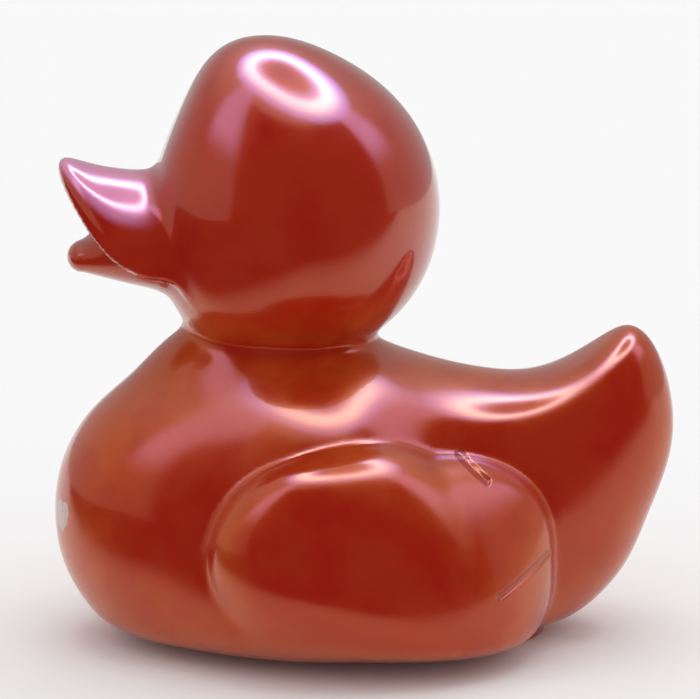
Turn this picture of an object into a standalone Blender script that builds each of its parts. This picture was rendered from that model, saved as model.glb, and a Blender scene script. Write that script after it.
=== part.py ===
"""Hollow moulded bath duck, 90 mm from beak to tail, standing on an oval foot.

The duck faces -Y, its left side is +X and +Z is up. The origin is on the
ground, under the middle of the duck. All sizes are in metres.

The duck is shaped like clay. Plain round lumps are pressed together, skinned
with a Remesh modifier, and every point of the skin is then drawn onto the
smooth form that the same lumps give when they are blended. The hollow inside
is the same form, one wall thickness further in.
"""
import math

import bmesh
import bpy
import numpy as np
from mathutils import Matrix, Vector

# Chest: the front of the body
CHEST_Y = -0.0135
CHEST_Z = 0.0188
CHEST_HALF_WIDTH = 0.0245
CHEST_HALF_LENGTH = 0.0319
CHEST_HALF_HEIGHT = 0.0243

# Shoulders: the widest part above the wings
SHOULDER_Y = -0.0078
SHOULDER_Z = 0.0190
SHOULDER_HALF_WIDTH = 0.0278
SHOULDER_HALF_LENGTH = 0.0210
SHOULDER_HALF_HEIGHT = 0.0240

# Belly: low and wide, with a shallower underside
BELLY_Y = -0.0033
BELLY_Z = 0.0085
BELLY_HALF_WIDTH = 0.0315
BELLY_HALF_LENGTH = 0.0285
BELLY_RISE = 0.0210
BELLY_DEPTH = 0.0086

# Back: the narrower part between the shoulders and the tail
BACK_Y = 0.0058
BACK_Z = 0.0179
BACK_HALF_WIDTH = 0.0170
BACK_HALF_LENGTH = 0.0345
BACK_HALF_HEIGHT = 0.0212

# Tail: a tall round lump whose top is hollowed out by a round saddle
TAIL_Y = 0.0129
TAIL_Z = 0.0297
TAIL_HALF_WIDTH = 0.0140
TAIL_HALF_LENGTH = 0.0326
TAIL_HALF_HEIGHT = 0.0242
TAIL_TILT = 9.4
SADDLE_Y = 0.0160
SADDLE_Z = 0.0368
SADDLE_RADIUS = 0.0300
SADDLE_CROWN_RADIUS = 0.0333
SADDLE_EDGE = 0.0080

# Breast below the neck
BREAST_Y = -0.0141
BREAST_Z = 0.0246
BREAST_HALF_WIDTH = 0.0185
BREAST_HALF_LENGTH = 0.0236
BREAST_HALF_HEIGHT = 0.0248

# Head: a dome, a brow in front of it, a face below the brow and a flat forehead
HEAD_Y = -0.0090
HEAD_Z = 0.0633
HEAD_HALF_WIDTH = 0.0215
HEAD_HALF_LENGTH = 0.0199
HEAD_HALF_HEIGHT = 0.0213
BROW_Y = -0.0150
BROW_Z = 0.0680
BROW_HALF_WIDTH = 0.0155
BROW_HALF_LENGTH = 0.0160
BROW_HALF_HEIGHT = 0.0199
FACE_Y = -0.0187
FACE_Z = 0.0565
FACE_HALF_WIDTH = 0.0155
FACE_HALF_LENGTH = 0.0088
FACE_HALF_HEIGHT = 0.0122
FOREHEAD_Y = -0.0260
FOREHEAD_Z = 0.0800
FOREHEAD_TILT = 24.0
FOREHEAD_EDGE = 0.0060

# Upper beak: an arched slab inside an oval plan
BEAK_Y = -0.0300
BEAK_Z = 0.0667
BEAK_HALF_WIDTH = 0.0120
BEAK_HALF_LENGTH = 0.0142
BEAK_THICKNESS = 0.0040
BEAK_ARCH_RADIUS = 0.0074
BEAK_LIFT_RADIUS = 0.0385
BEAK_EDGE = 0.0030

# Lower beak: a flat tapering lip
LIP_TIP_Y = -0.0409
LIP_TIP_Z = 0.0564
LIP_TIP_RADIUS = 0.0022
LIP_ROOT_Y = -0.0296
LIP_ROOT_Z = 0.0570
LIP_ROOT_RADIUS = 0.0054
LIP_WIDENING = 1.86

# Mouth: the lump that closes the beak behind its open tip
MOUTH_Y = -0.0298
MOUTH_Z = 0.0605
MOUTH_HALF_WIDTH = 0.0095
MOUTH_HALF_LENGTH = 0.0088
MOUTH_HALF_HEIGHT = 0.0055

# Wings: one raised oval on each side, which fades out towards the foot
WING_Y = 0.0025
WING_Z = 0.0135
WING_HALF_LENGTH = 0.0245
WING_HALF_HEIGHT = 0.0175
WING_TILT = 2.0
WING_RELIEF = 0.0039
WING_EDGE = 0.0090
WING_FADE_BOTTOM = -0.0030
WING_FADE_TOP = 0.0120
WING_FADE_TILT = 17.0
WING_CREASE = 0.0009

# Front lobe of the wing: a second oval laid over its front, fading out below
LOBE_Y = -0.0036
LOBE_Z = 0.0140
LOBE_HALF_LENGTH = 0.0200
LOBE_HALF_HEIGHT = 0.0190
LOBE_TILT = 8.0
LOBE_RELIEF = 0.0008
LOBE_FADE_BOTTOM = 0.0060
LOBE_FADE_TOP = 0.0270

# How softly the lumps run into each other
BODY_BLEND = 0.0120
SHOULDER_BLEND = 0.0080
TAIL_BLEND = 0.0080
BREAST_BLEND = 0.0035
HEAD_BLEND = 0.0100
NECK_CREASE = 0.0040
BEAK_BLEND = 0.0030
BASE_EDGE = 0.0040

# Foot, wall and the air hole in the middle of the foot
FOOT_Y = 0.0002
FOOT_HALF_WIDTH = 0.0170
FOOT_HALF_LENGTH = 0.0265
FOOT_HEIGHT = 0.0008
FOOT_BEVEL = 0.0004
WALL = 0.0022
AIR_HOLE_RADIUS = 0.0015

# Fineness of the skins
SKIN_STEP = 0.0010
OUTER_TRIANGLES = 7000
INNER_TRIANGLES = 1800

TINY = 1e-12


def blend(first, second, reach):
    """Join two forms with a soft fillet."""
    overlap = np.maximum(reach - np.abs(first - second), 0) / reach
    return np.minimum(first, second) - overlap ** 3 * reach / 6


def trim(first, second, reach):
    """Keep what lies inside both forms, with a soft edge."""
    return -blend(-first, -second, reach)


def turn(y, z, centre_y, centre_z, degrees):
    """Turn side-view coordinates about a centre."""
    cosine, sine = math.cos(math.radians(degrees)), math.sin(math.radians(degrees))
    dy, dz = y - centre_y, z - centre_z
    return centre_y + cosine * dy + sine * dz, centre_z - sine * dy + cosine * dz


def egg(ratios, halves, power):
    """Distance-like value of an egg, from coordinates divided by its half sizes."""
    ratios = [np.abs(ratio) for ratio in ratios]
    size = sum(ratio ** power for ratio in ratios) ** (1 / power) + TINY
    steep = sum((r / size) ** (2 * power - 2) / (h * h) for r, h in zip(ratios, halves))
    return (size - 1) / np.sqrt(steep + TINY)


def lump(p, y, z, half_width, half_length, half_height, power=2.0, tilt=0.0):
    """An egg-shaped lump centred on the middle plane of the duck."""
    turned_y, turned_z = turn(p[:, 1], p[:, 2], y, z, tilt)
    ratios = (p[:, 0] / half_width, (turned_y - y) / half_length, (turned_z - z) / half_height)
    return egg(ratios, (half_width, half_length, half_height), power)


def belly(p):
    """The belly, flatter below its widest level than above it."""
    height = np.where(p[:, 2] > BELLY_Z, BELLY_RISE, BELLY_DEPTH)
    return lump(p, BELLY_Y, BELLY_Z, BELLY_HALF_WIDTH, BELLY_HALF_LENGTH, height, 2.2)


def tail(p):
    """The tail lump with a round saddle taken out of its top."""
    block = lump(p, TAIL_Y, TAIL_Z, TAIL_HALF_WIDTH, TAIL_HALF_LENGTH, TAIL_HALF_HEIGHT, 2.2, TAIL_TILT)
    fall = p[:, 0] ** 2 / (2 * SADDLE_CROWN_RADIUS)
    rise = p[:, 2] + fall - SADDLE_Z - SADDLE_RADIUS
    saddle = SADDLE_RADIUS - np.hypot(p[:, 1] - SADDLE_Y, rise)
    saddle = saddle / np.hypot(1, p[:, 0] / SADDLE_CROWN_RADIUS)
    return trim(block, saddle, SADDLE_EDGE)


def body(p):
    """The body without its wings, before its underside is cut flat."""
    form = lump(p, CHEST_Y, CHEST_Z, CHEST_HALF_WIDTH, CHEST_HALF_LENGTH, CHEST_HALF_HEIGHT, 2.15)
    shoulder = lump(p, SHOULDER_Y, SHOULDER_Z, SHOULDER_HALF_WIDTH, SHOULDER_HALF_LENGTH,
                    SHOULDER_HALF_HEIGHT, 2.1)
    form = blend(form, shoulder, SHOULDER_BLEND)
    back = lump(p, BACK_Y, BACK_Z, BACK_HALF_WIDTH, BACK_HALF_LENGTH, BACK_HALF_HEIGHT, 2.15)
    form = blend(form, back, BODY_BLEND)
    form = blend(form, belly(p), BODY_BLEND)
    form = blend(form, tail(p), TAIL_BLEND)
    breast = lump(p, BREAST_Y, BREAST_Z, BREAST_HALF_WIDTH, BREAST_HALF_LENGTH, BREAST_HALF_HEIGHT)
    return blend(form, breast, BREAST_BLEND)


def head(p):
    """The dome, brow and face, with the flat forehead."""
    form = lump(p, HEAD_Y, HEAD_Z, HEAD_HALF_WIDTH, HEAD_HALF_LENGTH, HEAD_HALF_HEIGHT)
    brow = lump(p, BROW_Y, BROW_Z, BROW_HALF_WIDTH, BROW_HALF_LENGTH, BROW_HALF_HEIGHT)
    form = blend(form, brow, HEAD_BLEND)
    face = lump(p, FACE_Y, FACE_Z, FACE_HALF_WIDTH, FACE_HALF_LENGTH, FACE_HALF_HEIGHT, 2.1)
    form = blend(form, face, HEAD_BLEND)
    lean = math.radians(FOREHEAD_TILT)
    forehead = math.sin(lean) * (p[:, 2] - FOREHEAD_Z) - math.cos(lean) * (p[:, 1] - FOREHEAD_Y)
    return trim(form, forehead, FOREHEAD_EDGE)


def beak_forward(y):
    """How far a place lies in front of the line where the beak starts to lift."""
    return np.maximum(BEAK_Y - y, 0)


def beak_middle(x, y):
    """Height of the middle of the arched and lifted beak."""
    return BEAK_Z + beak_forward(y) ** 2 / (2 * BEAK_LIFT_RADIUS) - x ** 2 / (2 * BEAK_ARCH_RADIUS)


def beak(p):
    """The arched upper beak, lifted towards its tip."""
    lift, arch = beak_forward(p[:, 1]) / BEAK_LIFT_RADIUS, p[:, 0] / BEAK_ARCH_RADIUS
    away = np.abs(p[:, 2] - beak_middle(p[:, 0], p[:, 1]))
    slab = away / np.sqrt(1 + lift ** 2 + arch ** 2) - BEAK_THICKNESS / 2
    plan = np.hypot(p[:, 0] / BEAK_HALF_WIDTH, (p[:, 1] - BEAK_Y) / BEAK_HALF_LENGTH) - 1
    return trim(slab, plan * min(BEAK_HALF_WIDTH, BEAK_HALF_LENGTH), BEAK_EDGE)


def lip(p):
    """The lower beak, a round taper flattened into a lip."""
    run_y, run_z = LIP_TIP_Y - LIP_ROOT_Y, LIP_TIP_Z - LIP_ROOT_Z
    along = (p[:, 1] - LIP_ROOT_Y) * run_y + (p[:, 2] - LIP_ROOT_Z) * run_z
    along = np.clip(along / (run_y ** 2 + run_z ** 2), 0, 1)
    dy = p[:, 1] - LIP_ROOT_Y - along * run_y
    dz = p[:, 2] - LIP_ROOT_Z - along * run_z
    away = np.sqrt((p[:, 0] / LIP_WIDENING) ** 2 + dy ** 2 + dz ** 2 + TINY)
    return away - LIP_ROOT_RADIUS - along * (LIP_TIP_RADIUS - LIP_ROOT_RADIUS)


def ease(value, start, end):
    """Rise softly from 0 at the start to 1 at the end."""
    share = np.clip((value - start) / (end - start), 0, 1)
    return share ** 3 * (share * (6 * share - 15) + 10)


def side_oval(p, y, z, half_length, half_height, tilt, power):
    """Distance-like value of an oval in the side view."""
    turned_y, turned_z = turn(p[:, 1], p[:, 2], y, z, tilt)
    ratios = ((turned_y - y) / half_length, (turned_z - z) / half_height)
    return egg(ratios, (half_length, half_height), power)


def underside(p):
    """How far the very slightly domed underside rises around the foot."""
    return (p[:, 0] ** 2 + (p[:, 1] - FOOT_Y) ** 2) / (40 * BELLY_HALF_LENGTH)


def add_wings(p, form):
    """Raise the wings and, over the front of each, its front lobe."""
    level = p[:, 2] + math.tan(math.radians(WING_FADE_TILT)) * (p[:, 1] - WING_Y)
    wing_form = form - WING_RELIEF * ease(level, WING_FADE_BOTTOM, WING_FADE_TOP)
    outline = side_oval(p, WING_Y, WING_Z, WING_HALF_LENGTH, WING_HALF_HEIGHT, WING_TILT, 2.7)
    winged = blend(form, trim(wing_form, outline, WING_EDGE), WING_CREASE)
    rise = ease(p[:, 2], LOBE_FADE_BOTTOM, LOBE_FADE_TOP)
    lobe_form = wing_form + WING_CREASE - (LOBE_RELIEF + WING_CREASE) * rise
    outline = side_oval(p, LOBE_Y, LOBE_Z, LOBE_HALF_LENGTH, LOBE_HALF_HEIGHT, LOBE_TILT, 2.4)
    return blend(winged, trim(lobe_form, outline, WING_EDGE), WING_CREASE)


def outside(p):
    """The whole outer form of the duck above its foot."""
    form = blend(body(p), head(p), NECK_CREASE)
    form = blend(form, beak(p), BEAK_BLEND)
    form = blend(form, lip(p), BEAK_BLEND)
    mouth = lump(p, MOUTH_Y, MOUTH_Z, MOUTH_HALF_WIDTH, MOUTH_HALF_LENGTH, MOUTH_HALF_HEIGHT)
    form = add_wings(p, blend(form, mouth, 2 * BEAK_BLEND))
    return trim(form, FOOT_HEIGHT + underside(p) - p[:, 2], BASE_EDGE)


def inside(p):
    """The hollow: body, wings and head, one wall thickness further in."""
    form = add_wings(p, blend(body(p), head(p), 3 * NECK_CREASE)) + WALL
    return trim(form, FOOT_HEIGHT + WALL + underside(p) - p[:, 2], 2 * BASE_EDGE)


def slope_of(form, p):
    """Direction and steepness in which a form grows."""
    step = 0.00005
    slope = np.empty_like(p)
    for axis in range(3):
        shift = np.zeros(3)
        shift[axis] = step
        slope[:, axis] = (form(p + shift) - form(p - shift)) / (2 * step)
    return slope


def draw_onto(mesh, form, reach, rounds):
    """Draw every point of a skin onto a form and even out their spacing."""
    points = np.empty(len(mesh.vertices) * 3)
    mesh.vertices.foreach_get("co", points)
    points = points.reshape(-1, 3)
    edges = np.empty(len(mesh.edges) * 2, dtype=np.int32)
    mesh.edges.foreach_get("vertices", edges)
    first, second = edges.reshape(-1, 2).T
    count = np.bincount(edges, minlength=len(points))[:, None]
    for turn_number in range(rounds):
        slope = slope_of(form, points)
        steep = np.sum(slope ** 2, axis=1)[:, None] + TINY
        move = -slope * form(points)[:, None] / steep
        length = np.linalg.norm(move, axis=1)[:, None] + TINY
        points = points + move * np.minimum(1, reach / length)
        if turn_number < rounds - 3:
            middle = np.zeros_like(points)
            np.add.at(middle, first, points[second])
            np.add.at(middle, second, points[first])
            drift = middle / count - points
            drift -= slope * np.sum(drift * slope, axis=1)[:, None] / steep
            points = points + 0.4 * drift
    mesh.vertices.foreach_set("co", points.astype(np.float32).ravel())
    mesh.update()


def add_lump(clay, y, z, half_width, half_length, half_height, tilt=0.0):
    """Add one round lump to the clay and return its points."""
    place = Matrix.Translation((0, y, z)) @ Matrix.Rotation(math.radians(tilt), 4, "X")
    place = place @ Matrix.Diagonal((half_width, half_length, half_height, 1))
    return bmesh.ops.create_icosphere(clay, subdivisions=4, radius=1, matrix=place)["verts"]


def in_saddle(point, inset):
    """Whether a point lies in the round saddle that hollows out the tail."""
    fall = point.x ** 2 / (2 * SADDLE_CROWN_RADIUS)
    across = math.hypot(point.y - SADDLE_Y, point.z + fall - SADDLE_Z - SADDLE_RADIUS)
    return across < SADDLE_RADIUS + inset


def lay_clay(inset, with_beak):
    """Press the plain lumps together, each smaller by the inset."""
    clay = bmesh.new()
    add_lump(clay, CHEST_Y, CHEST_Z, CHEST_HALF_WIDTH - inset, CHEST_HALF_LENGTH - inset,
             CHEST_HALF_HEIGHT - inset)
    add_lump(clay, SHOULDER_Y, SHOULDER_Z, SHOULDER_HALF_WIDTH - inset,
             SHOULDER_HALF_LENGTH - inset, SHOULDER_HALF_HEIGHT - inset)
    add_lump(clay, BACK_Y, BACK_Z, BACK_HALF_WIDTH - inset, BACK_HALF_LENGTH - inset,
             BACK_HALF_HEIGHT - inset)
    for vertex in add_lump(clay, BELLY_Y, BELLY_Z, BELLY_HALF_WIDTH - inset,
                           BELLY_HALF_LENGTH - inset, BELLY_RISE - inset):
        if vertex.co.z < BELLY_Z:
            vertex.co.z = BELLY_Z + (vertex.co.z - BELLY_Z) * BELLY_DEPTH / BELLY_RISE
    core = Vector((0, TAIL_Y, TAIL_Z - TAIL_HALF_HEIGHT / 2))
    for vertex in add_lump(clay, TAIL_Y, TAIL_Z, TAIL_HALF_WIDTH - inset, TAIL_HALF_LENGTH - inset,
                           TAIL_HALF_HEIGHT - inset, TAIL_TILT):
        for step in range(60):
            if in_saddle(vertex.co, inset):
                vertex.co = core.lerp(vertex.co, 0.96)
    add_lump(clay, BREAST_Y, BREAST_Z, BREAST_HALF_WIDTH - inset, BREAST_HALF_LENGTH - inset,
             BREAST_HALF_HEIGHT - inset)
    add_lump(clay, HEAD_Y, HEAD_Z, HEAD_HALF_WIDTH - inset, HEAD_HALF_LENGTH - inset,
             HEAD_HALF_HEIGHT - inset)
    add_lump(clay, BROW_Y, BROW_Z, BROW_HALF_WIDTH - inset, BROW_HALF_LENGTH - inset,
             BROW_HALF_HEIGHT - inset)
    add_lump(clay, FACE_Y, FACE_Z, FACE_HALF_WIDTH - inset, FACE_HALF_LENGTH - inset,
             FACE_HALF_HEIGHT - inset)
    if with_beak:
        half = BEAK_THICKNESS / 2
        for vertex in add_lump(clay, BEAK_Y, 0, BEAK_HALF_WIDTH, BEAK_HALF_LENGTH, 3 * half):
            vertex.co.z = min(max(vertex.co.z, -half), half) + beak_middle(vertex.co.x, vertex.co.y)
        add_lump(clay, MOUTH_Y, MOUTH_Z, MOUTH_HALF_WIDTH, MOUTH_HALF_LENGTH, MOUTH_HALF_HEIGHT)
        root_to_tip = (LIP_ROOT_Y - LIP_TIP_Y) / 2
        add_lump(clay, LIP_TIP_Y + root_to_tip, LIP_ROOT_Z, LIP_ROOT_RADIUS * LIP_WIDENING * 0.8,
                 root_to_tip + LIP_TIP_RADIUS, LIP_ROOT_RADIUS * 0.7)
    return clay


def skin(name, clay):
    """Turn the clay into a mesh object."""
    mesh = bpy.data.meshes.new(name)
    clay.to_mesh(mesh)
    clay.free()
    body_object = bpy.data.objects.new(name, mesh)
    bpy.context.scene.collection.objects.link(body_object)
    return body_object


def settle(target):
    """Turn the result of an object's modifiers into its mesh."""
    graph = bpy.context.evaluated_depsgraph_get()
    settled = bpy.data.meshes.new_from_object(target.evaluated_get(graph))
    target.modifiers.clear()
    target.data = settled


def reskin(target, step):
    """Give an object one even closed skin."""
    remesh = target.modifiers.new("Skin", "REMESH")
    remesh.mode = "VOXEL"
    remesh.voxel_size = step
    settle(target)


def thin_out(target, triangles):
    """Use large triangles where a skin is even and small ones where it bends."""
    thin = target.modifiers.new("Thin", "DECIMATE")
    thin.ratio = triangles / (2 * len(target.data.polygons))
    thin.use_collapse_triangulate = True
    settle(target)


def shape(name, clay, form, step, triangles):
    """Make a closed skin that lies on a form."""
    target = skin(name, clay)
    reskin(target, step)
    draw_onto(target.data, form, step, 14)
    reskin(target, step)
    draw_onto(target.data, form, step / 2, 10)
    thin_out(target, triangles)
    return target


def hide_cutter(cutter):
    """Keep a cutter out of renders and show it as wire."""
    cutter.hide_render = True
    cutter.display_type = "WIRE"


def add_boolean(target, other, operation):
    """Join or cut with another object."""
    modifier = target.modifiers.new(other.name, "BOOLEAN")
    modifier.operation = operation
    modifier.solver = "EXACT"
    modifier.use_self = True
    modifier.object = other
    hide_cutter(other)


def make_foot():
    """The flat oval foot, which reaches into the bottom wall."""
    disc = bmesh.new()
    depth = FOOT_HEIGHT + WALL / 2
    place = Matrix.Translation((0, FOOT_Y, depth / 2))
    place = place @ Matrix.Diagonal((FOOT_HALF_WIDTH, FOOT_HALF_LENGTH, depth, 1))
    bmesh.ops.create_cone(disc, cap_ends=True, segments=64, radius1=1, radius2=1, depth=1, matrix=place)
    rim = [edge for edge in disc.edges if all(v.co.z < depth / 2 for v in edge.verts)]
    bmesh.ops.bevel(disc, geom=rim, offset=FOOT_BEVEL, segments=2, profile=0.5, affect="EDGES")
    return skin("foot_disc", disc)


def make_air_hole():
    """The cutter of the air hole through the foot."""
    hole = bmesh.new()
    depth = 4 * (FOOT_HEIGHT + WALL)
    bmesh.ops.create_cone(hole, cap_ends=True, segments=32, radius1=AIR_HOLE_RADIUS,
                          radius2=AIR_HOLE_RADIUS, depth=depth,
                          matrix=Matrix.Translation((0, FOOT_Y, 0)))
    return skin("air_hole_cutter", hole)


def plastic(name, colour, roughness):
    """Glossy coloured plastic."""
    material = bpy.data.materials.new(name)
    material.use_nodes = True
    shader = material.node_tree.nodes["Principled BSDF"]
    shader.inputs["Base Color"].default_value = (*colour, 1)
    shader.inputs["Roughness"].default_value = roughness
    shader.inputs["Metallic"].default_value = 0.0
    shader.inputs["Coat Weight"].default_value = 1.0
    shader.inputs["Coat Roughness"].default_value = 0.05
    return material


for old in list(bpy.data.objects):
    bpy.data.objects.remove(old, do_unlink=True)

duck = shape("duck_body", lay_clay(0.0, True), outside, SKIN_STEP, OUTER_TRIANGLES)
hollow = shape("hollow_cutter", lay_clay(WALL, False), inside, 2 * SKIN_STEP, INNER_TRIANGLES)
add_boolean(duck, make_foot(), "UNION")
add_boolean(duck, hollow, "DIFFERENCE")
add_boolean(duck, make_air_hole(), "DIFFERENCE")
duck.data.materials.clear()
duck.data.materials.append(plastic("red_vinyl", (0.45, 0.030, 0.018), 0.18))
duck.data.shade_smooth()
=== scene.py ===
"""Looks of a hollow moulded bath duck: glossy red pearl vinyl in a small white photo tent.

The duck faces -Y, its left side is +X and +Z is up. All sizes are in metres.
"""
import math

import bmesh
import bpy
import numpy as np
from mathutils import Matrix, Vector


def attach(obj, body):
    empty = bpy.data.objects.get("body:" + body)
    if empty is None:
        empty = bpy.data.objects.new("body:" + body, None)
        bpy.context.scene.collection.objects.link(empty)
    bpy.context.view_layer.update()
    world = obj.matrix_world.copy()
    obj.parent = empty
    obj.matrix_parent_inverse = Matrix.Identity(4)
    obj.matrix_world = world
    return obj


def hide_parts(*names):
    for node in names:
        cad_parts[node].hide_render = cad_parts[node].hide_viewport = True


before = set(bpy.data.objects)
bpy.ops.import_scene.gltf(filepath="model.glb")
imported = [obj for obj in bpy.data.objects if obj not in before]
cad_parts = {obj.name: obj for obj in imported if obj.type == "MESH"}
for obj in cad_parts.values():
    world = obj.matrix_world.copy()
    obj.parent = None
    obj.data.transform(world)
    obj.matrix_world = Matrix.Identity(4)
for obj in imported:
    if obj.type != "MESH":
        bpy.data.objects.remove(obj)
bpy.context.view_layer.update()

# The duck is one hollow piece of soft vinyl, moulded in a closed mould and lacquered in red pearl.
# Round lumps are pressed together, skinned, and drawn onto the smooth form that the lumps give
# when they are blended. The hollow inside is the same form, one wall thickness further in.

# A power of 2 makes a lump an ellipsoid, and a higher power makes it fuller.

# Chest: the front of the body
CHEST_Y = -0.0135
CHEST_Z = 0.0188
CHEST_HALF_WIDTH = 0.0245
CHEST_HALF_LENGTH = 0.0319
CHEST_HALF_HEIGHT = 0.0243
CHEST_POWER = 2.15

# Shoulders: the widest part above the wings
SHOULDER_Y = -0.0078
SHOULDER_Z = 0.0190
SHOULDER_HALF_WIDTH = 0.0278
SHOULDER_HALF_LENGTH = 0.0210
SHOULDER_HALF_HEIGHT = 0.0240
SHOULDER_POWER = 2.1

# Belly: low and wide, with a shallower underside
BELLY_Y = -0.0033
BELLY_Z = 0.0085
BELLY_HALF_WIDTH = 0.0315
BELLY_HALF_LENGTH = 0.0285
BELLY_RISE = 0.0210
BELLY_DEPTH = 0.0086
BELLY_POWER = 2.2

# Back: the narrower part between the shoulders and the tail
BACK_Y = 0.0058
BACK_Z = 0.0179
BACK_HALF_WIDTH = 0.0170
BACK_HALF_LENGTH = 0.0345
BACK_HALF_HEIGHT = 0.0212
BACK_POWER = 2.15

# Tail: a tall round lump whose top is hollowed out by a round saddle
TAIL_Y = 0.0129
TAIL_Z = 0.0297
TAIL_HALF_WIDTH = 0.0140
TAIL_HALF_LENGTH = 0.0326
TAIL_HALF_HEIGHT = 0.0242
TAIL_TILT = 9.4
TAIL_POWER = 2.2
SADDLE_Y = 0.0160
SADDLE_Z = 0.0368
SADDLE_RADIUS = 0.0300
SADDLE_CROWN_RADIUS = 0.0333
SADDLE_EDGE = 0.0080

# Breast below the neck
BREAST_Y = -0.0141
BREAST_Z = 0.0246
BREAST_HALF_WIDTH = 0.0185
BREAST_HALF_LENGTH = 0.0236
BREAST_HALF_HEIGHT = 0.0248

# Head: a dome, a brow in front of it, a face below the brow and a flat forehead
HEAD_Y = -0.0090
HEAD_Z = 0.0633
HEAD_HALF_WIDTH = 0.0215
HEAD_HALF_LENGTH = 0.0199
HEAD_HALF_HEIGHT = 0.0213
BROW_Y = -0.0150
BROW_Z = 0.0680
BROW_HALF_WIDTH = 0.0155
BROW_HALF_LENGTH = 0.0160
BROW_HALF_HEIGHT = 0.0199
FACE_Y = -0.0187
FACE_Z = 0.0565
FACE_HALF_WIDTH = 0.0155
FACE_HALF_LENGTH = 0.0088
FACE_HALF_HEIGHT = 0.0122
FACE_POWER = 2.1
FOREHEAD_Y = -0.0260
FOREHEAD_Z = 0.0800
FOREHEAD_TILT = 24.0
FOREHEAD_EDGE = 0.0060

# Upper beak: an arched slab inside an oval plan
BEAK_Y = -0.0300
BEAK_Z = 0.0667
BEAK_HALF_WIDTH = 0.0120
BEAK_HALF_LENGTH = 0.0142
BEAK_THICKNESS = 0.0040
BEAK_ARCH_RADIUS = 0.0074
BEAK_LIFT_RADIUS = 0.0385
BEAK_EDGE = 0.0030

# Lower beak: a flat tapering lip
LIP_TIP_Y = -0.0409
LIP_TIP_Z = 0.0564
LIP_TIP_RADIUS = 0.0022
LIP_ROOT_Y = -0.0296
LIP_ROOT_Z = 0.0570
LIP_ROOT_RADIUS = 0.0054
LIP_WIDENING = 1.86

# Mouth: the lump that closes the beak behind its open tip
MOUTH_Y = -0.0298
MOUTH_Z = 0.0605
MOUTH_HALF_WIDTH = 0.0095
MOUTH_HALF_LENGTH = 0.0088
MOUTH_HALF_HEIGHT = 0.0055

# Wings: one raised oval on each side, which fades out towards the foot
WING_Y = 0.0025
WING_Z = 0.0135
WING_HALF_LENGTH = 0.0245
WING_HALF_HEIGHT = 0.0175
WING_TILT = 2.0
WING_POWER = 2.7
WING_RELIEF = 0.0039
WING_EDGE = 0.0090
WING_FADE_BOTTOM = -0.0030
WING_FADE_TOP = 0.0120
WING_FADE_TILT = 17.0
WING_CREASE = 0.0009

# Front lobe of the wing: a second oval laid over its front, fading out below
LOBE_Y = -0.0036
LOBE_Z = 0.0140
LOBE_HALF_LENGTH = 0.0200
LOBE_HALF_HEIGHT = 0.0190
LOBE_TILT = 8.0
LOBE_POWER = 2.4
LOBE_RELIEF = 0.0008
LOBE_FADE_BOTTOM = 0.0060
LOBE_FADE_TOP = 0.0270

# How softly the lumps run into each other
BODY_BLEND = 0.0120
SHOULDER_BLEND = 0.0080
TAIL_BLEND = 0.0080
BREAST_BLEND = 0.0035
HEAD_BLEND = 0.0100
NECK_CREASE = 0.0040
BEAK_BLEND = 0.0030
BASE_EDGE = 0.0040
UNDERSIDE_FLATNESS = 40

# Foot, wall and the air hole in the middle of the foot
FOOT_Y = 0.0002
FOOT_HALF_WIDTH = 0.0170
FOOT_HALF_LENGTH = 0.0265
FOOT_HEIGHT = 0.0008
FOOT_BEVEL = 0.0004
WALL = 0.0022
AIR_HOLE_RADIUS = 0.0015

# Fineness of the skins, and how they are drawn onto the form
SKIN_STEP = 0.0010
FINE_SKIN_STEP = 0.00065
SLOPE_STEP = 0.00005
ROUNDS = 14
FINE_ROUNDS = 10
ROUNDS_WITHOUT_EVENING = 3
EVENING_SHARE = 0.4
SADDLE_TRIES = 60
SADDLE_TRY_SHARE = 0.96

# Size of the lump of clay for the lower beak, as shares of the lip's root
LIP_CLAY_WIDTH = 0.8
LIP_CLAY_HEIGHT = 0.7

# Keeps divisions away from zero
TINY = 1e-12


def blend(first, second, reach):
    """Join two forms with a soft fillet."""
    overlap = np.maximum(reach - np.abs(first - second), 0) / reach
    return np.minimum(first, second) - overlap ** 3 * reach / 6


def trim(first, second, reach):
    """Keep what lies inside both forms, with a soft edge."""
    return -blend(-first, -second, reach)


def turn(y, z, centre_y, centre_z, degrees):
    """Turn side-view coordinates about a centre."""
    cosine, sine = math.cos(math.radians(degrees)), math.sin(math.radians(degrees))
    dy, dz = y - centre_y, z - centre_z
    return centre_y + cosine * dy + sine * dz, centre_z - sine * dy + cosine * dz


def egg(ratios, halves, power):
    """Distance-like value of an egg, from coordinates divided by its half sizes."""
    ratios = [np.abs(ratio) for ratio in ratios]
    size = sum(ratio ** power for ratio in ratios) ** (1 / power) + TINY
    steep = sum((r / size) ** (2 * power - 2) / (h * h) for r, h in zip(ratios, halves))
    return (size - 1) / np.sqrt(steep + TINY)


def lump(p, y, z, half_width, half_length, half_height, power=2.0, tilt=0.0):
    """An egg-shaped lump centred on the middle plane of the duck."""
    turned_y, turned_z = turn(p[:, 1], p[:, 2], y, z, tilt)
    ratios = (p[:, 0] / half_width, (turned_y - y) / half_length, (turned_z - z) / half_height)
    return egg(ratios, (half_width, half_length, half_height), power)


def belly(p):
    """The belly, flatter below its widest level than above it."""
    height = np.where(p[:, 2] > BELLY_Z, BELLY_RISE, BELLY_DEPTH)
    return lump(p, BELLY_Y, BELLY_Z, BELLY_HALF_WIDTH, BELLY_HALF_LENGTH, height, BELLY_POWER)


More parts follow.
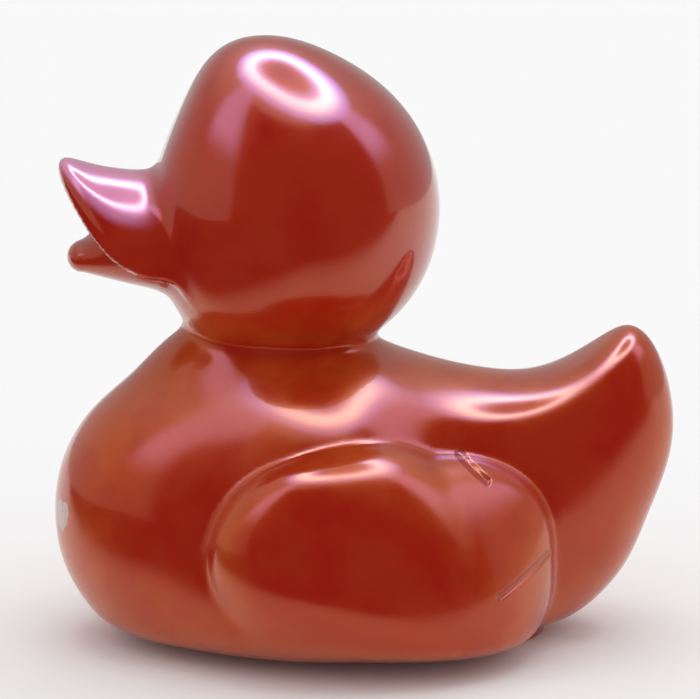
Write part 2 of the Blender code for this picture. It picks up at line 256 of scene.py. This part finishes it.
def tail(p):
    """The tail lump with a round saddle taken out of its top."""
    block = lump(p, TAIL_Y, TAIL_Z, TAIL_HALF_WIDTH, TAIL_HALF_LENGTH, TAIL_HALF_HEIGHT,
                 TAIL_POWER, TAIL_TILT)
    fall = p[:, 0] ** 2 / (2 * SADDLE_CROWN_RADIUS)
    rise = p[:, 2] + fall - SADDLE_Z - SADDLE_RADIUS
    saddle = SADDLE_RADIUS - np.hypot(p[:, 1] - SADDLE_Y, rise)
    saddle = saddle / np.hypot(1, p[:, 0] / SADDLE_CROWN_RADIUS)
    return trim(block, saddle, SADDLE_EDGE)


def body(p):
    """The body without its wings, before its underside is cut flat."""
    form = lump(p, CHEST_Y, CHEST_Z, CHEST_HALF_WIDTH, CHEST_HALF_LENGTH, CHEST_HALF_HEIGHT,
                CHEST_POWER)
    shoulder = lump(p, SHOULDER_Y, SHOULDER_Z, SHOULDER_HALF_WIDTH, SHOULDER_HALF_LENGTH,
                    SHOULDER_HALF_HEIGHT, SHOULDER_POWER)
    form = blend(form, shoulder, SHOULDER_BLEND)
    back = lump(p, BACK_Y, BACK_Z, BACK_HALF_WIDTH, BACK_HALF_LENGTH, BACK_HALF_HEIGHT,
                BACK_POWER)
    form = blend(form, back, BODY_BLEND)
    form = blend(form, belly(p), BODY_BLEND)
    form = blend(form, tail(p), TAIL_BLEND)
    breast = lump(p, BREAST_Y, BREAST_Z, BREAST_HALF_WIDTH, BREAST_HALF_LENGTH, BREAST_HALF_HEIGHT)
    return blend(form, breast, BREAST_BLEND)


def head(p):
    """The dome, brow and face, with the flat forehead."""
    form = lump(p, HEAD_Y, HEAD_Z, HEAD_HALF_WIDTH, HEAD_HALF_LENGTH, HEAD_HALF_HEIGHT)
    brow = lump(p, BROW_Y, BROW_Z, BROW_HALF_WIDTH, BROW_HALF_LENGTH, BROW_HALF_HEIGHT)
    form = blend(form, brow, HEAD_BLEND)
    face = lump(p, FACE_Y, FACE_Z, FACE_HALF_WIDTH, FACE_HALF_LENGTH, FACE_HALF_HEIGHT,
                FACE_POWER)
    form = blend(form, face, HEAD_BLEND)
    lean = math.radians(FOREHEAD_TILT)
    forehead = math.sin(lean) * (p[:, 2] - FOREHEAD_Z) - math.cos(lean) * (p[:, 1] - FOREHEAD_Y)
    return trim(form, forehead, FOREHEAD_EDGE)


def beak_forward(y):
    """How far a place lies in front of the line where the beak starts to lift."""
    return np.maximum(BEAK_Y - y, 0)


def beak_middle(x, y):
    """Height of the middle of the arched and lifted beak."""
    return BEAK_Z + beak_forward(y) ** 2 / (2 * BEAK_LIFT_RADIUS) - x ** 2 / (2 * BEAK_ARCH_RADIUS)


def beak(p):
    """The arched upper beak, lifted towards its tip."""
    lift, arch = beak_forward(p[:, 1]) / BEAK_LIFT_RADIUS, p[:, 0] / BEAK_ARCH_RADIUS
    away = np.abs(p[:, 2] - beak_middle(p[:, 0], p[:, 1]))
    slab = away / np.sqrt(1 + lift ** 2 + arch ** 2) - BEAK_THICKNESS / 2
    plan = np.hypot(p[:, 0] / BEAK_HALF_WIDTH, (p[:, 1] - BEAK_Y) / BEAK_HALF_LENGTH) - 1
    return trim(slab, plan * min(BEAK_HALF_WIDTH, BEAK_HALF_LENGTH), BEAK_EDGE)


def lip(p):
    """The lower beak, a round taper flattened into a lip."""
    run_y, run_z = LIP_TIP_Y - LIP_ROOT_Y, LIP_TIP_Z - LIP_ROOT_Z
    along = (p[:, 1] - LIP_ROOT_Y) * run_y + (p[:, 2] - LIP_ROOT_Z) * run_z
    along = np.clip(along / (run_y ** 2 + run_z ** 2), 0, 1)
    dy = p[:, 1] - LIP_ROOT_Y - along * run_y
    dz = p[:, 2] - LIP_ROOT_Z - along * run_z
    away = np.sqrt((p[:, 0] / LIP_WIDENING) ** 2 + dy ** 2 + dz ** 2 + TINY)
    return away - LIP_ROOT_RADIUS - along * (LIP_TIP_RADIUS - LIP_ROOT_RADIUS)


def ease(value, start, end):
    """Rise softly from 0 at the start to 1 at the end."""
    share = np.clip((value - start) / (end - start), 0, 1)
    return share ** 3 * (share * (6 * share - 15) + 10)


def side_oval(p, y, z, half_length, half_height, tilt, power):
    """Distance-like value of an oval in the side view."""
    turned_y, turned_z = turn(p[:, 1], p[:, 2], y, z, tilt)
    ratios = ((turned_y - y) / half_length, (turned_z - z) / half_height)
    return egg(ratios, (half_length, half_height), power)


def underside(p):
    """How far the very slightly domed underside rises around the foot."""
    return (p[:, 0] ** 2 + (p[:, 1] - FOOT_Y) ** 2) / (UNDERSIDE_FLATNESS * BELLY_HALF_LENGTH)


def add_wings(p, form):
    """Raise the wings and, over the front of each, its front lobe."""
    level = p[:, 2] + math.tan(math.radians(WING_FADE_TILT)) * (p[:, 1] - WING_Y)
    wing_form = form - WING_RELIEF * ease(level, WING_FADE_BOTTOM, WING_FADE_TOP)
    outline = side_oval(p, WING_Y, WING_Z, WING_HALF_LENGTH, WING_HALF_HEIGHT, WING_TILT,
                        WING_POWER)
    winged = blend(form, trim(wing_form, outline, WING_EDGE), WING_CREASE)
    rise = ease(p[:, 2], LOBE_FADE_BOTTOM, LOBE_FADE_TOP)
    lobe_form = wing_form + WING_CREASE - (LOBE_RELIEF + WING_CREASE) * rise
    outline = side_oval(p, LOBE_Y, LOBE_Z, LOBE_HALF_LENGTH, LOBE_HALF_HEIGHT, LOBE_TILT,
                        LOBE_POWER)
    return blend(winged, trim(lobe_form, outline, WING_EDGE), WING_CREASE)


def outside(p):
    """The whole outer form of the duck above its foot."""
    form = blend(body(p), head(p), NECK_CREASE)
    form = blend(form, beak(p), BEAK_BLEND)
    form = blend(form, lip(p), BEAK_BLEND)
    mouth = lump(p, MOUTH_Y, MOUTH_Z, MOUTH_HALF_WIDTH, MOUTH_HALF_LENGTH, MOUTH_HALF_HEIGHT)
    form = add_wings(p, blend(form, mouth, 2 * BEAK_BLEND))
    return trim(form, FOOT_HEIGHT + underside(p) - p[:, 2], BASE_EDGE)


def inside(p):
    """The hollow: body, wings and head, one wall thickness further in."""
    form = add_wings(p, blend(body(p), head(p), 3 * NECK_CREASE)) + WALL
    return trim(form, FOOT_HEIGHT + WALL + underside(p) - p[:, 2], 2 * BASE_EDGE)


def slope_of(form, p):
    """Direction and steepness in which a form grows."""
    slope = np.empty_like(p)
    for axis in range(3):
        shift = np.zeros(3)
        shift[axis] = SLOPE_STEP
        slope[:, axis] = (form(p + shift) - form(p - shift)) / (2 * SLOPE_STEP)
    return slope


def draw_onto(mesh, form, reach, rounds):
    """Draw every point of a skin onto a form and even out their spacing."""
    points = np.empty(len(mesh.vertices) * 3)
    mesh.vertices.foreach_get("co", points)
    points = points.reshape(-1, 3)
    edges = np.empty(len(mesh.edges) * 2, dtype=np.int32)
    mesh.edges.foreach_get("vertices", edges)
    first, second = edges.reshape(-1, 2).T
    count = np.bincount(edges, minlength=len(points))[:, None]
    for turn_number in range(rounds):
        slope = slope_of(form, points)
        steep = np.sum(slope ** 2, axis=1)[:, None] + TINY
        move = -slope * form(points)[:, None] / steep
        length = np.linalg.norm(move, axis=1)[:, None] + TINY
        points = points + move * np.minimum(1, reach / length)
        if turn_number < rounds - ROUNDS_WITHOUT_EVENING:
            middle = np.zeros_like(points)
            np.add.at(middle, first, points[second])
            np.add.at(middle, second, points[first])
            drift = middle / count - points
            drift -= slope * np.sum(drift * slope, axis=1)[:, None] / steep
            points = points + EVENING_SHARE * drift
    mesh.vertices.foreach_set("co", points.astype(np.float32).ravel())
    mesh.update()


def add_lump(clay, y, z, half_width, half_length, half_height, tilt=0.0):
    """Add one round lump to the clay and return its points."""
    place = Matrix.Translation((0, y, z)) @ Matrix.Rotation(math.radians(tilt), 4, "X")
    place = place @ Matrix.Diagonal((half_width, half_length, half_height, 1))
    return bmesh.ops.create_icosphere(clay, subdivisions=4, radius=1, matrix=place)["verts"]


def in_saddle(point, inset):
    """Whether a point lies in the round saddle that hollows out the tail."""
    fall = point.x ** 2 / (2 * SADDLE_CROWN_RADIUS)
    across = math.hypot(point.y - SADDLE_Y, point.z + fall - SADDLE_Z - SADDLE_RADIUS)
    return across < SADDLE_RADIUS + inset


def lay_clay(inset, with_beak):
    """Press the plain lumps together, each smaller by the inset."""
    clay = bmesh.new()
    add_lump(clay, CHEST_Y, CHEST_Z, CHEST_HALF_WIDTH - inset, CHEST_HALF_LENGTH - inset,
             CHEST_HALF_HEIGHT - inset)
    add_lump(clay, SHOULDER_Y, SHOULDER_Z, SHOULDER_HALF_WIDTH - inset,
             SHOULDER_HALF_LENGTH - inset, SHOULDER_HALF_HEIGHT - inset)
    add_lump(clay, BACK_Y, BACK_Z, BACK_HALF_WIDTH - inset, BACK_HALF_LENGTH - inset,
             BACK_HALF_HEIGHT - inset)
    for vertex in add_lump(clay, BELLY_Y, BELLY_Z, BELLY_HALF_WIDTH - inset,
                           BELLY_HALF_LENGTH - inset, BELLY_RISE - inset):
        if vertex.co.z < BELLY_Z:
            vertex.co.z = BELLY_Z + (vertex.co.z - BELLY_Z) * BELLY_DEPTH / BELLY_RISE
    core = Vector((0, TAIL_Y, TAIL_Z - TAIL_HALF_HEIGHT / 2))
    for vertex in add_lump(clay, TAIL_Y, TAIL_Z, TAIL_HALF_WIDTH - inset, TAIL_HALF_LENGTH - inset,
                           TAIL_HALF_HEIGHT - inset, TAIL_TILT):
        for attempt in range(SADDLE_TRIES):
            if in_saddle(vertex.co, inset):
                vertex.co = core.lerp(vertex.co, SADDLE_TRY_SHARE)
    add_lump(clay, BREAST_Y, BREAST_Z, BREAST_HALF_WIDTH - inset, BREAST_HALF_LENGTH - inset,
             BREAST_HALF_HEIGHT - inset)
    add_lump(clay, HEAD_Y, HEAD_Z, HEAD_HALF_WIDTH - inset, HEAD_HALF_LENGTH - inset,
             HEAD_HALF_HEIGHT - inset)
    add_lump(clay, BROW_Y, BROW_Z, BROW_HALF_WIDTH - inset, BROW_HALF_LENGTH - inset,
             BROW_HALF_HEIGHT - inset)
    add_lump(clay, FACE_Y, FACE_Z, FACE_HALF_WIDTH - inset, FACE_HALF_LENGTH - inset,
             FACE_HALF_HEIGHT - inset)
    if with_beak:
        half = BEAK_THICKNESS / 2
        for vertex in add_lump(clay, BEAK_Y, 0, BEAK_HALF_WIDTH, BEAK_HALF_LENGTH, 3 * half):
            vertex.co.z = min(max(vertex.co.z, -half), half) + beak_middle(vertex.co.x, vertex.co.y)
        add_lump(clay, MOUTH_Y, MOUTH_Z, MOUTH_HALF_WIDTH, MOUTH_HALF_LENGTH, MOUTH_HALF_HEIGHT)
        root_to_tip = (LIP_ROOT_Y - LIP_TIP_Y) / 2
        add_lump(clay, LIP_TIP_Y + root_to_tip, LIP_ROOT_Z, LIP_ROOT_RADIUS * LIP_WIDENING * LIP_CLAY_WIDTH,
                 root_to_tip + LIP_TIP_RADIUS, LIP_ROOT_RADIUS * LIP_CLAY_HEIGHT)
    return clay


def skin(name, clay):
    """Turn the clay into a mesh object."""
    mesh = bpy.data.meshes.new(name)
    clay.to_mesh(mesh)
    clay.free()
    body_object = bpy.data.objects.new(name, mesh)
    bpy.context.scene.collection.objects.link(body_object)
    return body_object


def settle(target):
    """Turn the result of an object's modifiers into its mesh."""
    graph = bpy.context.evaluated_depsgraph_get()
    settled = bpy.data.meshes.new_from_object(target.evaluated_get(graph))
    target.modifiers.clear()
    target.data = settled


def reskin(target, step):
    """Give an object one even closed skin."""
    remesh = target.modifiers.new("Skin", "REMESH")
    remesh.mode = "VOXEL"
    remesh.voxel_size = step
    settle(target)


def shape(name, clay, form, step, final_step):
    """Make a closed skin that lies on a form."""
    target = skin(name, clay)
    reskin(target, step)
    draw_onto(target.data, form, step, ROUNDS)
    reskin(target, final_step)
    draw_onto(target.data, form, final_step / 2, FINE_ROUNDS)
    return target


def make_foot():
    """The flat oval foot, which reaches into the bottom wall."""
    disc = bmesh.new()
    depth = FOOT_HEIGHT + WALL / 2
    place = Matrix.Translation((0, FOOT_Y, depth / 2))
    place = place @ Matrix.Diagonal((FOOT_HALF_WIDTH, FOOT_HALF_LENGTH, depth, 1))
    bmesh.ops.create_cone(disc, cap_ends=True, segments=64, radius1=1, radius2=1, depth=1,
                          matrix=place)
    rim = [edge for edge in disc.edges if all(v.co.z < depth / 2 for v in edge.verts)]
    bmesh.ops.bevel(disc, geom=rim, offset=FOOT_BEVEL, segments=2, profile=0.5, affect="EDGES",
                    material=-1)
    return skin("foot_disc", disc)


def make_air_hole():
    """The cutter of the air hole through the foot."""
    hole = bmesh.new()
    depth = 4 * (FOOT_HEIGHT + WALL)
    bmesh.ops.create_cone(hole, cap_ends=True, segments=32, radius1=AIR_HOLE_RADIUS,
                          radius2=AIR_HOLE_RADIUS, depth=depth,
                          matrix=Matrix.Translation((0, FOOT_Y, 0)))
    return skin("air_hole_cutter", hole)


def cut(target, other, operation):
    """Join or cut with another object, then remove that object."""
    modifier = target.modifiers.new(other.name, "BOOLEAN")
    modifier.operation = operation
    modifier.solver = "EXACT"
    modifier.object = other
    settle(target)
    bpy.data.objects.remove(other, do_unlink=True)


duck = shape("duck", lay_clay(0.0, True), outside, SKIN_STEP, FINE_SKIN_STEP)
hollow = shape("hollow_cutter", lay_clay(WALL, False), inside, 2 * SKIN_STEP, 2 * SKIN_STEP)
cut(duck, make_foot(), "UNION")
cut(duck, hollow, "DIFFERENCE")
cut(duck, make_air_hole(), "DIFFERENCE")
duck.data.shade_smooth()

# Lacquer: a red ground, an inner gloss of gold pearl and a clear coat, thinner on the body.
# Gold sheen is painted into the colour where the body faces away from the side, and a violet highlight is
# painted on top of the beak.
RED = (0.34, 0.006, 0.003, 1)
CLOUDY_RED = (0.36, 0.010, 0.004, 1)
# The next two colours are painted light: a gold sheen on the body and a violet highlight on the beak.
PAINTED_GOLD_SHEEN = (0.44, 0.055, 0.009, 1)
PAINTED_VIOLET_HIGHLIGHT = (0.62, 0.20, 0.40, 1)
PALE_HEART = (0.42, 0.32, 0.31, 1)
PEARL_TINT = (1.0, 0.42, 0.14, 1)
BODY_COAT = 0.40
FULL_COAT = 1.0
COAT_THICKENS = (0.050, 0.062)
SMOOTHEST = 0.18
PATCH_ROUGHNESS = 0.08
PATCH_SCALE = 90.0
PATCH_EDGE = (0.35, 0.60)
GRAIN_SCALE = 1800.0
GRAIN_STRENGTH = 0.25
GRAIN_DEPTH = 0.00002

# Where the painted gold sheen and the painted violet highlight show: places in metres, and parts of the way
# a face points
SHEEN_SIDEWAYS = (0.62, 0.95)
SHEEN_TOP = (0.048, 0.058)
SHEEN_BETWEEN_PATCHES = 0.4
SHEEN_ON_PATCHES = 0.6
HIGHLIGHT_UPWARDS = (0.25, 0.60)
HIGHLIGHT_FRONT = (-0.034, -0.029)
HIGHLIGHT_BOTTOM = (0.061, 0.064)

# Heart on the duck's own left side of the chest
HEART_X = 0.0074
HEART_Z = 0.0193
HEART_HALF = 0.0021
HEART_EDGE = 0.05
HEART_FADE = (-0.031, -0.030)

# Feather marks pressed into the wings, each from one place (y, z) to another
LOWER_MARK = ((0.0176, 0.0123), (0.0250, 0.0160))
LOWER_MARK_HALF_WIDTH = 0.0008
UPPER_MARK = ((0.0125, 0.0305), (0.0163, 0.0272))
UPPER_MARK_HALF_WIDTH = 0.0007
MARK_DEPTH = 0.0005


def node(tree, kind, **values):
    """Add a shader node and set its fields."""
    made = tree.nodes.new(kind)
    for field, value in values.items():
        setattr(made, field, value)
    return made


def link(tree, source, target):
    """Connect two sockets."""
    tree.links.new(source, target)


def math_node(tree, operation, first, second=None, third=None):
    """Add a Math node; each input is a number or a socket."""
    made = node(tree, "ShaderNodeMath", operation=operation)
    for socket, value in zip(made.inputs, (first, second, third)):
        if isinstance(value, (int, float)):
            socket.default_value = value
        elif value is not None:
            link(tree, value, socket)
    return made.outputs[0]


def split(tree, source):
    """The three parts of a place or direction."""
    parts = node(tree, "ShaderNodeSeparateXYZ")
    link(tree, source, parts.inputs[0])
    return parts.outputs


def smooth(tree, value, low, high, to_low=0.0, to_high=1.0):
    """A soft step between two numbers."""
    made = node(tree, "ShaderNodeMapRange", interpolation_type="SMOOTHSTEP")
    link(tree, value, made.inputs["Value"])
    made.inputs["From Min"].default_value = low
    made.inputs["From Max"].default_value = high
    made.inputs["To Min"].default_value = to_low
    made.inputs["To Max"].default_value = to_high
    return made.outputs["Result"]


def pick(sockets, name):
    """The colour socket of a Mix node with that name."""
    return next(socket for socket in sockets if socket.name == name and socket.type == "RGBA")


def blend_colour(tree, factor, first, second):
    """Mix two colours by a socket."""
    made = node(tree, "ShaderNodeMix", data_type="RGBA")
    link(tree, factor, made.inputs[0])
    for socket, value in ((pick(made.inputs, "A"), first), (pick(made.inputs, "B"), second)):
        if isinstance(value, tuple):
            socket.default_value = value
        else:
            link(tree, value, socket)
    return pick(made.outputs, "Result")


def noise(tree, place, scale, detail):
    """Cloudy noise on a place."""
    made = node(tree, "ShaderNodeTexNoise")
    made.inputs["Scale"].default_value = scale
    made.inputs["Detail"].default_value = detail
    link(tree, place, made.inputs["Vector"])
    return made.outputs["Fac"]


def heart(tree, place):
    """Mask of the heart on the chest."""
    parts = split(tree, place)
    across = math_node(tree, "MULTIPLY_ADD", parts["X"], 1 / HEART_HALF, -HEART_X / HEART_HALF)
    up = math_node(tree, "MULTIPLY_ADD", parts["Z"], 1 / HEART_HALF, -HEART_Z / HEART_HALF)
    across = math_node(tree, "POWER", across, 2)
    height = math_node(tree, "POWER", up, 2)
    round_part = math_node(tree, "SUBTRACT", math_node(tree, "ADD", across, height), 1.0)
    notch = math_node(tree, "MULTIPLY", across, math_node(tree, "MULTIPLY", height, up))
    outline = math_node(tree, "SUBTRACT", math_node(tree, "POWER", round_part, 3), notch)
    front = smooth(tree, parts["Y"], *HEART_FADE, 1.0, 0.0)
    filled = smooth(tree, outline, -HEART_EDGE, HEART_EDGE, 1.0, 0.0)
    return math_node(tree, "MULTIPLY", filled, front)


def mark(tree, place, ends, half_width):
    """Mask of a short straight mark in the side view."""
    parts = split(tree, place)
    (start_y, start_z), (end_y, end_z) = ends
    length = math.hypot(end_y - start_y, end_z - start_z)
    run_y, run_z = (end_y - start_y) / length, (end_z - start_z) / length
    dy = math_node(tree, "SUBTRACT", parts["Y"], start_y)
    dz = math_node(tree, "SUBTRACT", parts["Z"], start_z)
    along = math_node(tree, "ADD", math_node(tree, "MULTIPLY", dy, run_y),
                      math_node(tree, "MULTIPLY", dz, run_z))
    held = math_node(tree, "MINIMUM", math_node(tree, "MAXIMUM", along, 0.0), length)
    past = math_node(tree, "SUBTRACT", along, held)
    aside = math_node(tree, "SUBTRACT", math_node(tree, "MULTIPLY", dz, run_y),
                      math_node(tree, "MULTIPLY", dy, run_z))
    away = math_node(tree, "SQRT", math_node(tree, "ADD", math_node(tree, "POWER", past, 2),
                                             math_node(tree, "POWER", aside, 2)))
    return smooth(tree, away, 0.0, half_width, 1.0, 0.0)


def bump(tree, height, strength, distance, under=None):
    """Add a relief, laid over another normal where one is given."""
    made = node(tree, "ShaderNodeBump")
    made.inputs["Strength"].default_value = strength
    made.inputs["Distance"].default_value = distance
    link(tree, height, made.inputs["Height"])
    if under is not None:
        link(tree, under, made.inputs["Normal"])
    return made


def lacquer_colour(tree, place, facing, patches):
    """Red ground with a painted gold sheen, a painted violet highlight on the beak and the printed pale
    heart.
    """
    at, turn_to = split(tree, place), split(tree, facing)
    # Painted gold sheen: gold where a face points away from the duck's sides, below the head, stronger on
    # the cloudy patches.
    turned = smooth(tree, math_node(tree, "ABSOLUTE", turn_to["X"]), *SHEEN_SIDEWAYS, 1.0, 0.0)
    low = smooth(tree, at["Z"], *SHEEN_TOP, 1.0, 0.0)
    gold_sheen = math_node(tree, "MULTIPLY", math_node(tree, "MULTIPLY", turned, low),
                     math_node(tree, "MULTIPLY_ADD", patches, SHEEN_ON_PATCHES, SHEEN_BETWEEN_PATCHES))
    # Painted violet highlight on the upward faces of the beak's top, standing in for the lamp's reflection
    # there.
    beak_highlight = math_node(tree, "MULTIPLY", smooth(tree, turn_to["Z"], *HIGHLIGHT_UPWARDS),
                         smooth(tree, at["Y"], *HIGHLIGHT_FRONT, 1.0, 0.0))
    beak_highlight = math_node(tree, "MULTIPLY", beak_highlight, smooth(tree, at["Z"], *HIGHLIGHT_BOTTOM))
    colour = blend_colour(tree, patches, RED, CLOUDY_RED)
    colour = blend_colour(tree, gold_sheen, colour, PAINTED_GOLD_SHEEN)
    colour = blend_colour(tree, beak_highlight, colour, PAINTED_VIOLET_HIGHLIGHT)
    return blend_colour(tree, heart(tree, place), colour, PALE_HEART)


def lacquer():
    """Material of the duck."""
    made = bpy.data.materials.new("red_pearl_vinyl")
    made.use_nodes = True
    tree = made.node_tree
    shader = tree.nodes["Principled BSDF"]
    shader.inputs["IOR"].default_value = 2.0
    shader.inputs["Specular Tint"].default_value = PEARL_TINT
    shader.inputs["Coat Roughness"].default_value = 0.04
    shader.inputs["Coat IOR"].default_value = 1.5
    coordinates = node(tree, "ShaderNodeTexCoord")
    place = coordinates.outputs["Object"]
    patches = smooth(tree, noise(tree, place, PATCH_SCALE, 4.0), *PATCH_EDGE)
    colour = lacquer_colour(tree, place, coordinates.outputs["Normal"], patches)
    link(tree, colour, shader.inputs["Base Color"])
    roughness = math_node(tree, "MULTIPLY_ADD", patches, PATCH_ROUGHNESS, SMOOTHEST)
    link(tree, roughness, shader.inputs["Roughness"])
    coat = smooth(tree, split(tree, place)["Z"], *COAT_THICKENS, BODY_COAT, FULL_COAT)
    link(tree, coat, shader.inputs["Coat Weight"])
    grain = bump(tree, noise(tree, place, GRAIN_SCALE, 2.0), GRAIN_STRENGTH, GRAIN_DEPTH)
    marks = math_node(tree, "MAXIMUM", mark(tree, place, LOWER_MARK, LOWER_MARK_HALF_WIDTH),
                      mark(tree, place, UPPER_MARK, UPPER_MARK_HALF_WIDTH))
    dents = bump(tree, marks, 1.0, MARK_DEPTH, grain.outputs["Normal"])
    dents.invert = True
    link(tree, dents.outputs["Normal"], shader.inputs["Normal"])
    return made


duck.data.materials.clear()
duck.data.materials.append(lacquer())
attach(duck, "root")
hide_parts("duck_body")

# The floor is one wide sheet of smooth white paper, laid flat under the duck and not fixed.
# In the duck's gloss the paper carries painted shade towards the open front of the tent, where less light
# falls.
SHEET_HALF = 2.0
PAPER_WHITE = (0.95, 0.95, 0.95, 1)
PAINTED_FRONT_SHADE = (0.02, 0.02, 0.02, 1)
FRONT_FADE = (0.045, 0.122)
CORNER_FADE = (0.048, 0.088)
CORNER_SLANT_X, CORNER_SLANT_Y = 0.74, -0.67

sheet = bmesh.new()
bmesh.ops.create_grid(sheet, x_segments=1, y_segments=1, size=1.0)
bmesh.ops.scale(sheet, vec=(SHEET_HALF, SHEET_HALF, 1), verts=sheet.verts)
floor = skin("floor_sheet", sheet)


def paper():
    """Material of the floor."""
    made = bpy.data.materials.new("white_paper")
    made.use_nodes = True
    tree = made.node_tree
    shader = tree.nodes["Principled BSDF"]
    shader.inputs["Roughness"].default_value = 1.0
    shader.inputs["Specular IOR Level"].default_value = 0.0
    at = split(tree, node(tree, "ShaderNodeTexCoord").outputs["Object"])
    slanted = math_node(tree, "MULTIPLY_ADD", at["Y"], CORNER_SLANT_Y,
                        math_node(tree, "MULTIPLY", at["X"], CORNER_SLANT_X))
    # Painted shade: for glossy rays the paper's colour darkens towards the open front and the front corner.
    ahead = math_node(tree, "MAXIMUM", smooth(tree, at["X"], *FRONT_FADE),
                      smooth(tree, slanted, *CORNER_FADE))
    mirrored = node(tree, "ShaderNodeLightPath").outputs["Is Glossy Ray"]
    tone = blend_colour(tree, math_node(tree, "MULTIPLY", ahead, mirrored), PAPER_WHITE, PAINTED_FRONT_SHADE)
    link(tree, tone, shader.inputs["Base Color"])
    return made


floor.data.materials.append(paper())

# The photo tent is white cloth stretched over a frame, with a ring lamp overhead, a strip of
# light down each side of its open front, and a dark room beyond. The duck mirrors all of it.
# Other rays get a plain pale light, and the camera sees plain white. Angles are in degrees.
RING_AXIS = Vector((-0.13, 0.10, 1.0)).normalized()
FRONT_AZIMUTH = 12.0
SIDE_WALL_STARTS = (62.0, 68.0)
CEILING_STARTS = (61.0, 67.0)
WALL_BRIGHTENS = (30.0, 60.0)
STRIP_ACROSS = (60.0, 72.0, 84.0, 100.0)
STRIP_UPWARDS = (22.0, 42.0, 68.0, 78.0)
RING_HOLE = (6.0, 14.0)
RING_GLOW = (9.0, 14.0, 25.0, 31.0)
RING_LAMP = (13.0, 17.0, 18.0, 26.0)
DARK_ROOM = (0.02, 0.018, 0.018, 1)
LOW_WALL = (0.45, 0.43, 0.43, 1)
HIGH_WALL = (0.95, 0.90, 0.90, 1)
STRIP_LIGHT = (2.0, 1.7, 3.6, 1)
RING_CENTRE = (1.2, 1.0, 1.3, 1)
RING_EDGE = (2.6, 3.0, 8.5, 1)
RING_LIGHT = (10.0, 11.0, 15.0, 1)
PLAIN_LIGHT = (0.84, 0.84, 0.84, 1)
PLAIN_RING = (3.0, 3.0, 3.0, 1)
WHITE = (1, 1, 1, 1)


def band(tree, value, start, full, fade, end):
    """A soft band: up between the first two numbers and down between the last two."""
    return math_node(tree, "MULTIPLY", smooth(tree, value, start, full),
                     smooth(tree, value, fade, end, 1.0, 0.0))


def mirrored_tent(tree, from_axis, from_front, height):
    """Colours of the tent as the duck mirrors them."""
    wall = math_node(tree, "MAXIMUM", smooth(tree, from_front, *SIDE_WALL_STARTS),
                     smooth(tree, height, *CEILING_STARTS))
    strip = math_node(tree, "MULTIPLY", band(tree, from_front, *STRIP_ACROSS),
                      band(tree, height, *STRIP_UPWARDS))
    pale = blend_colour(tree, smooth(tree, height, *WALL_BRIGHTENS), LOW_WALL, HIGH_WALL)
    seen = blend_colour(tree, wall, DARK_ROOM, pale)
    seen = blend_colour(tree, strip, seen, STRIP_LIGHT)
    hole = smooth(tree, from_axis, *RING_HOLE, 1.0, 0.0)
    seen = blend_colour(tree, hole, seen, RING_CENTRE)
    return blend_colour(tree, band(tree, from_axis, *RING_GLOW), seen, RING_EDGE)


def light_tent():
    """World of the scene."""
    world = bpy.data.worlds.new("photo_tent")
    bpy.context.scene.world = world
    world.use_nodes = True
    tree = world.node_tree
    tree.nodes.clear()
    aim = node(tree, "ShaderNodeVectorMath", operation="NORMALIZE")
    link(tree, node(tree, "ShaderNodeTexCoord").outputs["Generated"], aim.inputs[0])
    along = split(tree, aim.outputs[0])
    lean = node(tree, "ShaderNodeVectorMath", operation="DOT_PRODUCT")
    lean.inputs[1].default_value = RING_AXIS
    link(tree, aim.outputs[0], lean.inputs[0])
    from_axis = math_node(tree, "DEGREES", math_node(tree, "ARCCOSINE", lean.outputs["Value"]))
    azimuth = math_node(tree, "DEGREES", math_node(tree, "ARCTAN2", along["Y"], along["X"]))
    from_front = math_node(tree, "ABSOLUTE", math_node(tree, "SUBTRACT", azimuth, FRONT_AZIMUTH))
    height = math_node(tree, "DEGREES", math_node(tree, "ARCSINE", along["Z"]))
    ring = band(tree, from_axis, *RING_LAMP)
    tent = blend_colour(tree, ring, mirrored_tent(tree, from_axis, from_front, height), RING_LIGHT)
    plain = blend_colour(tree, ring, PLAIN_LIGHT, PLAIN_RING)
    path = node(tree, "ShaderNodeLightPath").outputs
    mirrored = math_node(tree, "MAXIMUM", path["Is Glossy Ray"], path["Is Transmission Ray"])
    shown = blend_colour(tree, mirrored, plain, tent)
    shown = blend_colour(tree, path["Is Camera Ray"], shown, WHITE)
    light = node(tree, "ShaderNodeBackground")
    link(tree, shown, light.inputs["Color"])
    link(tree, light.outputs[0], node(tree, "ShaderNodeOutputWorld").inputs["Surface"])


light_tent()

# The camera has a long lens and stands half a metre away, on the duck's left and a little above it.
# Its angles are in degrees. Its lens is in millimetres, and its shifts are in pixels of the picture.
CAMERA_AZIMUTH = 87
CAMERA_ELEVATION = 11
CAMERA_DISTANCE = 0.520
LENS_LENGTH = 183.2
LOOKS_AT = Vector((0, -0.0003, 0.0435))
SHIFT_ACROSS = -12.5
SHIFT_UP = -8.5
PICTURE_WIDTH = 700

lens = bpy.data.cameras.new("camera")
lens.lens = LENS_LENGTH
lens.shift_x = SHIFT_ACROSS / PICTURE_WIDTH
lens.shift_y = SHIFT_UP / PICTURE_WIDTH
camera = bpy.data.objects.new("camera", lens)
bpy.context.scene.collection.objects.link(camera)
sideways, upwards = math.radians(CAMERA_AZIMUTH), math.radians(CAMERA_ELEVATION)
back = Vector((math.sin(sideways) * math.cos(upwards), -math.cos(sideways) * math.cos(upwards),
               math.sin(upwards)))
camera.location = LOOKS_AT + back * CAMERA_DISTANCE
camera.rotation_euler = back.to_track_quat("Z", "Y").to_euler()
bpy.context.scene.camera = camera
bpy.context.scene.view_settings.view_transform = "Standard"
